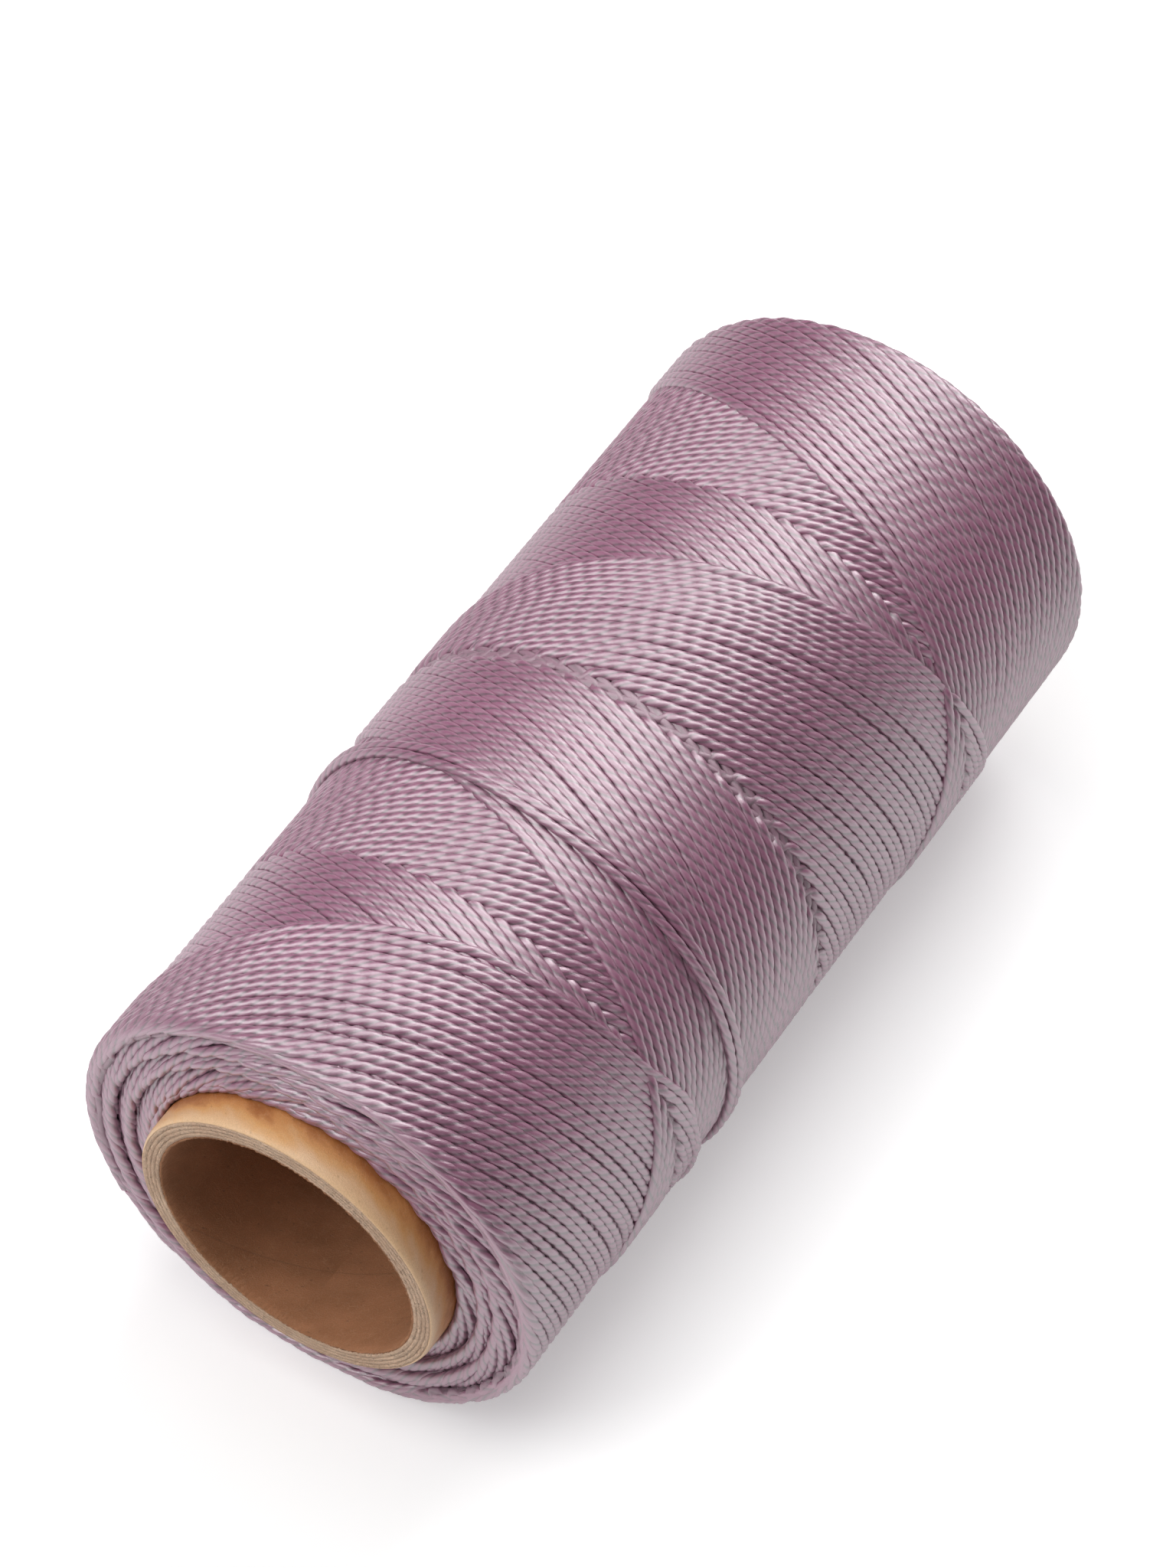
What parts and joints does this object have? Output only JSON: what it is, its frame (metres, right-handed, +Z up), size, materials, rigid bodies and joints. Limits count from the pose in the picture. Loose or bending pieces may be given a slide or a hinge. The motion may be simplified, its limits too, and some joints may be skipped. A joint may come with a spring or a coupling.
{
  "type": "waxed thread spool",
  "caption": "Spiral-wound paper tube with waxed, plied thread cross-wound on it, for hand stitching leather; the tube stands out at both ends.",
  "frame": {"origin": "on the floor under the middle of the spool, which lies on its side", "axes": "+X along the tube's axis, from the near end to the far end; +Z up; the thread's ends are near the near end"},
  "size_m": [0.122, 0.054, 0.0539],
  "materials": {
    "liner": "bare brown kraft, matt and a little fibrous",
    "board": "sawn grey-beige board, matt, fibrous at the cut",
    "wrap": "golden tan kraft, burnished to a low sheen",
    "thread": "waxed plied polyester, soft sheen"
  },
  "bodies": {
    "root": {"tube_inner_liner": "liner", "tube_board_ply_1": "board", "tube_board_ply_2": "board", "tube_board_ply_3": "board", "tube_board_ply_4": "board", "tube_outer_wrap": "wrap", "thread_inner_layers": "thread", "thread_outer_turns": "thread"}
  },
  "joints": []
}
